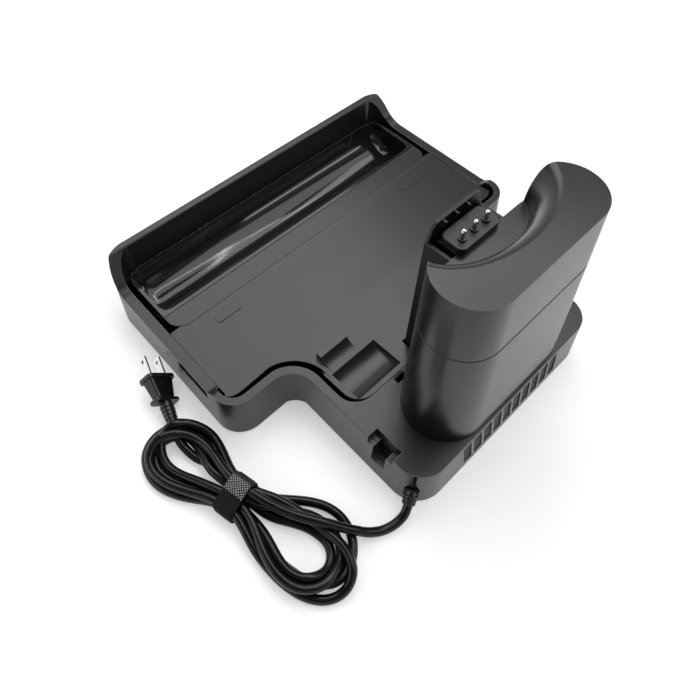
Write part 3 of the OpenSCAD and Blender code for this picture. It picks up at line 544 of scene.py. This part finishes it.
def reshape_tray(bm):
    """Squarer ends of the trough, and the groove along the tray's neck that the photo shows"""
    for v in bm.verts:
        p = v.co / MM
        side = 1 if p.x > 0 else -1
        out = Vector((abs(p.x) - TROUGH_REACH, p.y - TROUGH_Y, p.z - LEDGE_Z))
        on_trough = min(abs(out.length - r) for r in TROUGH_R) < NEAR
        if on_trough and out.x > 0.01 and p.z < LEDGE_Z + 0.1:
            ring = math.hypot(out.y, out.z)
            out *= out.length / (abs(out.x) ** SQUARE + ring ** SQUARE) ** (1 / SQUARE)
            p = Vector((side * (TROUGH_REACH + out.x), TROUGH_Y + out.y, LEDGE_Z + out.z))
        away = Vector((abs(p.x) - NECK[0], p.y - NECK[1], 0))
        if abs(away.length - NECK_R) < NEAR and p.z > NECK_LOW:
            p += Vector((side * away.x, away.y, 0)) * (GROOVE / away.length)
        elif abs(p.x) > EDGE_AT[0] and CORNER[1] < p.y < EDGE_AT[1] and p.z > NECK_LOW:
            p.x += side * CORNER_OUT * max(0, abs(p.x) - CORNER[0]) / CORNER_R
            p.y -= EDGE_IN * (p.y - CORNER[1]) / CORNER_R
        v.co = p * MM


def reshape_base(bm):
    """An even rim round the rear corners of the tray's room"""
    for v in bm.verts:
        p = v.co / MM
        out = Vector((abs(p.x) - CORNER[0], p.y - ROOM_Y))
        if abs(out.length - ROOM_R) < NEAR and out.y > -0.01 and p.z > ROOM_LOW:
            p.y = p.y - ROOM_IN if out.x > 0 else min(p.y, ROOM_Y - ROOM_IN + ROOM_R)
            v.co = p * MM


def make_shells():
    for node in ROUNDED:
        if node == "cleaning_tray":
            remake(node, reshape=reshape_tray)
        elif node == "base_housing":
            remake(node, reshape=reshape_base, tool=grille_tool())
        else:
            remake(node)


# Cord

def waist_axes():
    """Ways across the bundle and along it"""
    across = np.array([math.cos(WAIST_TURN), math.sin(WAIST_TURN), 0.0])
    return across, np.array([-across[1], across[0], 0.0])


def in_hank(s, t, z):
    """Point at s along the bundle, t across it and z up"""
    across, along = waist_axes()
    return np.array([WAIST[0], WAIST[1], 0.0]) + s * along + t * across + np.array([0, 0, z])


def loop_points(end, start, stop, shape):
    """One turn at an end of the bundle, from one slot of the tie round to another"""
    s, t, r, z = shape
    mouth = end * MOUTH
    side = 1 if start[0] > stop[0] else -1

    def flared(slot, edge):
        """On the way between a slot and an edge of the loop"""
        return in_hank(mouth + 0.45 * (s - mouth), slot[0] + 0.55 * (t + edge * r - slot[0]),
                       slot[1] + 0.5 * (z - slot[1]))

    points = [in_hank(mouth, *start), flared(start, side)]
    for step in range(7):
        a = math.radians(96 - 32 * step)
        points.append(in_hank(s + end * r * math.cos(a), t + side * r * math.sin(a), z))
    return points + [flared(stop, -side), in_hank(mouth, *stop)]


def even_points(line, marks_of):
    """Points along a line, at the distances that marks_of makes of its length"""
    far = np.concatenate([[0], np.cumsum(np.linalg.norm(np.diff(line, axis=0), axis=1))])
    marks = marks_of(far[-1])
    return np.stack([np.interp(marks, far, line[:, k]) for k in range(line.shape[1])], axis=1)


def smooth_line(points, step):
    """Even points along a round curve through the given ones"""
    p = np.array(points, float)
    p = np.vstack([2 * p[0] - p[1], p, 2 * p[-1] - p[-2]])
    out = []
    for a, b, c, d in zip(p[:-3], p[1:-2], p[2:-1], p[3:]):
        ab, bc, cd = (max(1e-6, np.linalg.norm(v)) ** 0.5 for v in (b - a, c - b, d - c))
        m1 = (c - b) + bc * ((b - a) / ab - (c - a) / (ab + bc))
        m2 = (c - b) + bc * ((d - c) / cd - (d - b) / (bc + cd))
        for t in np.linspace(0, 1, 16, endpoint=False):
            out.append(b * (2 * t ** 3 - 3 * t ** 2 + 1) + m1 * (t ** 3 - 2 * t ** 2 + t)
                       + c * (3 * t ** 2 - 2 * t ** 3) + m2 * (t ** 3 - t ** 2))
    out.append(p[-2])
    return even_points(np.array(out), lambda far: np.linspace(0, far, max(2, round(far / step) + 1)))


def cord_route():
    """Rough route of the whole cord, from the strain relief through the hank to the plug"""
    points = [tuple(p) for p in LEAD]
    points.append(in_hank(MOUTH, *SLOTS[0]))
    for k, (front, rear) in enumerate(zip(FRONT_LOOPS, REAR_LOOPS)):
        a, b, c = SLOTS[2 * k:2 * k + 3]
        points += loop_points(-1, a, b, front)
        points += loop_points(1, b, c, rear)
    points.append(in_hank(-MOUTH, *SLOTS[-1]))
    start, way = np.array(PLUG_START), np.array(PLUG_DIR)
    points += [in_hank(*LAST_TURN), start - 22 * way + (1, 0, 0), start - 8 * way, start,
               start + 6 * way]
    return smooth_line(points, CORD_STEP)


def held_points(line):
    """Those inside the tie, in the strain relief and in the plug's sleeve stay put"""
    across, along = waist_axes()
    away = line - np.array([WAIST[0], WAIST[1], 0.0])
    held = (np.abs(away @ along) < MOUTH) & (np.abs(away @ across) < 2.2 * PITCH)
    held[:5] = True
    held[-4:] = True
    return held


def stiff_system(held, stiff):
    """What a stiff cord makes of a push on its free points, and of its held ones"""
    bend = np.diff(np.eye(len(held)), 2, axis=0)
    system = np.eye(len(held)) + stiff * bend.T @ bend
    answer = np.linalg.inv(system[np.ix_(~held, ~held)])
    return answer, answer @ system[np.ix_(~held, held)]


def part_turns(p, pairs, free, gap):
    """Moves points of turns that overlap apart"""
    i, j = pairs
    away = p[i] - p[j]
    far = np.linalg.norm(away, axis=1)
    hit = far < gap
    push = away[hit] / far[hit, None] * ((gap - far[hit]) * 0.5)[:, None]
    shift, hits = np.zeros_like(p), np.zeros(len(p))
    np.add.at(shift, i[hit], push)
    np.add.at(shift, j[hit], -push)
    np.add.at(hits, i[hit], 1)
    np.add.at(hits, j[hit], 1)
    p[free] += shift[free] / np.maximum(1, hits[free] * 0.6)[:, None]


def open_bends(p, free):
    """Widens the bends that are tighter than the cord allows"""
    bow = (p[:-2 * WIDE] + p[2 * WIDE:]) / 2 - p[WIDE:-WIDE]
    bow *= np.maximum(0, 1 - BOW_MOST / np.maximum(np.linalg.norm(bow, axis=1), 1e-6))[:, None]
    wide = np.zeros_like(p)
    wide[WIDE:-WIDE] += 0.5 * bow
    wide[:-2 * WIDE] -= 0.25 * bow
    wide[2 * WIDE:] -= 0.25 * bow
    p[free] += 0.6 * wide[free]


def keep_length(p, rest, free):
    """Pulls neighbours back to their distance along the cord"""
    along = np.diff(p, axis=0)
    far = np.linalg.norm(along, axis=1)
    pull = along / far[:, None] * ((far - rest) * 0.4)[:, None]
    p[:-1][free[:-1]] += pull[free[:-1]]
    p[1:][free[1:]] -= pull[free[1:]]


def close_pairs(p, every):
    """Pairs of points, of different turns, that may touch in the next rounds"""
    away = p[every[0]] - p[every[1]]
    close = (away * away).sum(1) < WATCHED ** 2
    return every[0][close], every[1][close]


def settle(line):
    """Lets the stiff cord lie under its weight, its turns beside and on each other"""
    held = held_points(line)
    free = ~held
    answer, tied = stiff_system(held, STIFF["start"])
    p = line.copy()
    p[free] = answer @ p[free] - tied @ p[held]
    aim = p.copy()
    rest = np.linalg.norm(np.diff(p, axis=0), axis=1)
    loose = free[:-1] | free[1:]
    rest = np.where(loose, rest[loose].mean(), rest)
    early, late = stiff_system(held, STIFF["early"]), stiff_system(held, STIFF["late"])
    every = np.triu_indices(len(p), k=STEPS_APART)
    for turn in range(ROUNDS):
        share = turn / ROUNDS
        answer, tied = early if share < EARLY else late
        p[free, 2] -= FALL
        p[free] += TO_ROUTE * (1.1 - share) * (aim - p)[free] * np.array([1, 1, 0])
        p[free] = answer @ p[free] - tied @ p[held]
        open_bends(p, free)
        if turn % SEARCH_EVERY == 0:
            pairs = close_pairs(p, every)
        for _ in range(PASSES):
            part_turns(p, pairs, free, CORD_D + GAP)
            keep_length(p, rest, free)
            p[:, 2] = np.maximum(p[:, 2], CORD_R + FLOOR_GAP)
            p[held] = line[held]
    return p


def make_cord():
    line = settle(cord_route())
    last = line[-1:] if len(line) % 2 == 0 else line[:0]
    line = smooth_line(np.vstack([line[::2], last]), CURVE_STEP) * MM
    curve = bpy.data.curves.new("mains_cord", "CURVE")
    curve.dimensions = "3D"
    curve.bevel_depth = CORD_R * MM
    curve.bevel_resolution = 5
    curve.use_fill_caps = True
    spline = curve.splines.new("POLY")
    spline.points.add(len(line) - 1)
    for point, place in zip(spline.points, line):
        point.co = (*place, 1)
    spline.use_smooth = True
    cord = link(bpy.data.objects.new("mains_cord", curve))
    curve.materials.append(MATS["cord"])
    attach(cord, "station")
    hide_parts("cord_lead", "cord_hank")
    length = float(np.linalg.norm(np.diff(line, axis=0), axis=1).sum())
    print(f"cord length {length:.4f} m, {len(line)} points, highest {line[:, 2].max():.4f}")
    return cord, length


# Tie

def tie_outline(grow, count):
    """Even points round the strands in the tie, seen along the bundle, grown outward"""
    side, low, high, top = 1.5 * PITCH, LOW, HIGH, ON_TOP
    discs = [(-side, low), (side, low), (side, high), (-PITCH, top), (-side, high)]
    r = CORD_R + grow
    ring = []
    for k in range(720):
        a = math.tau * k / 720
        way = (math.cos(a), math.sin(a))
        x, z = max(discs, key=lambda d: d[0] * way[0] + d[1] * way[1])
        ring.append((x + r * way[0], z + r * way[1]))
    return even_points(np.array(ring + ring[:1]), lambda far: np.linspace(0, far, count, endpoint=False))


def tie_row(low, high, u, width, wide_steps, weave, threads):
    """Section of the strap at one place round the strands: its woven face, then its inner face"""
    out = (high - low) / np.linalg.norm(high - low)
    row = []
    for j in range(wide_steps + 1):
        s = (j / wide_steps - 0.5) * width
        edge = min(1.0, (0.5 * width - abs(s)) / 0.5)
        sag = BULGE * math.cos(math.pi * s / width) + 0.35 * (edge - 1) * (1 - edge)
        rib = weave * (math.sin(threads * (u + 0.6 * s)) + 0.5 * math.sin(threads * (0.7 * u - s)))
        row.append(in_hank(s, *(high + out * (sag + rib * edge - ROUND_OFF * (1 - edge)))))
    for j in range(wide_steps, -1, -1):
        row.append(in_hank((j / wide_steps - 0.5) * width * INNER_SHARE, *low))
    return row


def tube_faces(rows, span, whole):
    """Faces between rows of points, joined into a ring or closed at both ends"""
    faces = []
    for i in range(rows if whole else rows - 1):
        n = (i + 1) % rows
        for j in range(span):
            k = (j + 1) % span
            faces.append((i * span + j, i * span + k, n * span + k, n * span + j))
    if not whole:
        faces.append(tuple(range(span - 1, -1, -1)))
        faces.append(tuple(range((rows - 1) * span, rows * span)))
    return faces


def tie_part(name, mat, heights, shares, width, weave=0.0, threads=0):
    """Strap round the strands, between two heights and two shares of the way round"""
    round_steps, wide_steps = (560, 60) if weave else (160, 14)
    first, last = (round(share * round_steps) for share in shares)
    whole = last - first >= round_steps
    low, high = (tie_outline(height, round_steps) for height in heights)
    rows = [tie_row(low[i % round_steps], high[i % round_steps], i * TIE_ROUND / round_steps,
                    width, wide_steps, weave, threads)
            for i in range(first, last if whole else last + 1)]
    obj = mesh_object(name, [v * MM for row in rows for v in row],
                      tube_faces(len(rows), len(rows[0]), whole))
    bm = bmesh.new()
    bm.from_mesh(obj.data)
    bmesh.ops.recalc_face_normals(bm, faces=bm.faces)
    bm.to_mesh(obj.data)
    bm.free()
    obj.data.materials.append(MATS[mat])
    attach(obj, "station")
    return obj


def make_tie():
    strap = tie_part("tie_strap", "tape_smooth", (0.05, TIE_T), (0.0, 1.0), TIE_W)
    patch = tie_part("tie_patch", "tape_hook", (TIE_T - 0.1, TIE_T + 0.45), (0.265, 0.40),
                     TIE_W - 0.6, weave=0.13, threads=5)
    end = tie_part("tie_end", "tape_dark", (TIE_T - 0.1, TIE_T + 0.7), (0.395, 0.455),
                   TIE_W + 0.4, weave=0.09, threads=7)
    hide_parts("cord_tie")
    return [strap, patch, end]


# Stage and light

STAGE_SIZE = 6.0
STAGE_Z = -0.0006
FLOOR_WHITE = 0.66
FLOOR_GLOW = 0.38
WORLD_DIM = 0.4
MIRROR_HEIGHTS = (0.25, 0.7)
MIRROR_DARK = 0.1

# Softboxes: place, aim and size in metres, and power in watts
SOFTBOXES = {
    "key": ((-0.3, -0.8, 1.4), (0, 0, 0.04), (1.0, 1.1), 10),
    "trough": ((-0.45, 0.36, 1.35), (0, -0.1, 0.02), (1.0, 1.0), 6.5),
    "streak_a": ((-0.3, -0.12, 1.25), (0, -0.1, 0.02), (0.7, 0.025), 0.8),
    "streak_b": ((-0.3, 0.08, 1.25), (0, -0.1, 0.02), (0.9, 0.025), 0.8),
    "crest": ((-0.92, -0.33, 1.4), (0, 0.1, 0.18), (0.9, 0.3), 3.2),
    "edge_a": ((1.19, -0.7, 0.8), (0, 0, 0.05), (1.2, 0.3), 4.0),
    "edge_b": ((-0.8, 1.2, 0.7), (0, 0, 0.05), (1.2, 0.12), 2.7),
}


def make_stage():
    corners = [(x * STAGE_SIZE, y * STAGE_SIZE, STAGE_Z) for x, y in ((-1, -1), (1, -1), (1, 1), (-1, 1))]
    floor = mesh_object("floor", corners, [(0, 1, 2, 3)], smooth=False)
    mat = material("floor_white", (FLOOR_WHITE,) * 3, 0.7, specular=0.2)
    shader = shader_of(mat)
    path = add(mat, "ShaderNodeLightPath")
    seen = combine(mat, "MAXIMUM", path.outputs["Is Camera Ray"], path.outputs["Is Glossy Ray"])
    shader.inputs["Emission Color"].default_value = (1, 1, 1, 1)
    wire(mat, ramp(mat, seen, 0.0, FLOOR_GLOW, at=(0.0, 1.0)), shader.inputs["Emission Strength"])
    floor.data.materials.append(mat)


def make_world():
    """White to the camera and in mirrors, but darker from above in these, and dim as a light"""
    world = bpy.data.worlds.new("studio")
    bpy.context.scene.world = world
    world.use_nodes = True
    back = world.node_tree.nodes["Background"]
    path = add(world, "ShaderNodeLightPath")
    seen = combine(world, "MAXIMUM", path.outputs["Is Camera Ray"], path.outputs["Is Glossy Ray"])
    seen = combine(world, "MAXIMUM", seen, path.outputs["Is Transmission Ray"])
    wire(world, ramp(world, seen, WORLD_DIM, 1.0, at=(0.0, 1.0)), back.inputs["Strength"])
    place = add(world, "ShaderNodeTexCoord")
    parts = add(world, "ShaderNodeSeparateXYZ")
    wire(world, place.outputs["Generated"], parts.inputs[0])
    tone = add(world, "ShaderNodeMix")
    tone.data_type = "RGBA"
    tone.inputs["A"].default_value = (1, 1, 1, 1)
    wire(world, ramp(world, parts.outputs["Z"], 1.0, MIRROR_DARK, at=MIRROR_HEIGHTS), tone.inputs["B"])
    wire(world, path.outputs["Is Glossy Ray"], tone.inputs["Factor"])
    wire(world, tone.outputs["Result"], back.inputs["Color"])


def make_lamps():
    for name, (at, aim, size, power) in SOFTBOXES.items():
        lamp = bpy.data.lights.new(name, "AREA")
        lamp.shape = "RECTANGLE"
        lamp.size, lamp.size_y = size
        lamp.energy = power
        obj = link(bpy.data.objects.new(name, lamp))
        obj.location = at
        obj.rotation_euler = (Vector(aim) - Vector(at)).to_track_quat("-Z", "Y").to_euler()


make_camera()
dress_nodes()
make_shells()
make_grille()
cord, cord_length = make_cord()
tie = make_tie()
make_stage()
make_world()
make_lamps()
bpy.context.scene.view_settings.view_transform = "Standard"
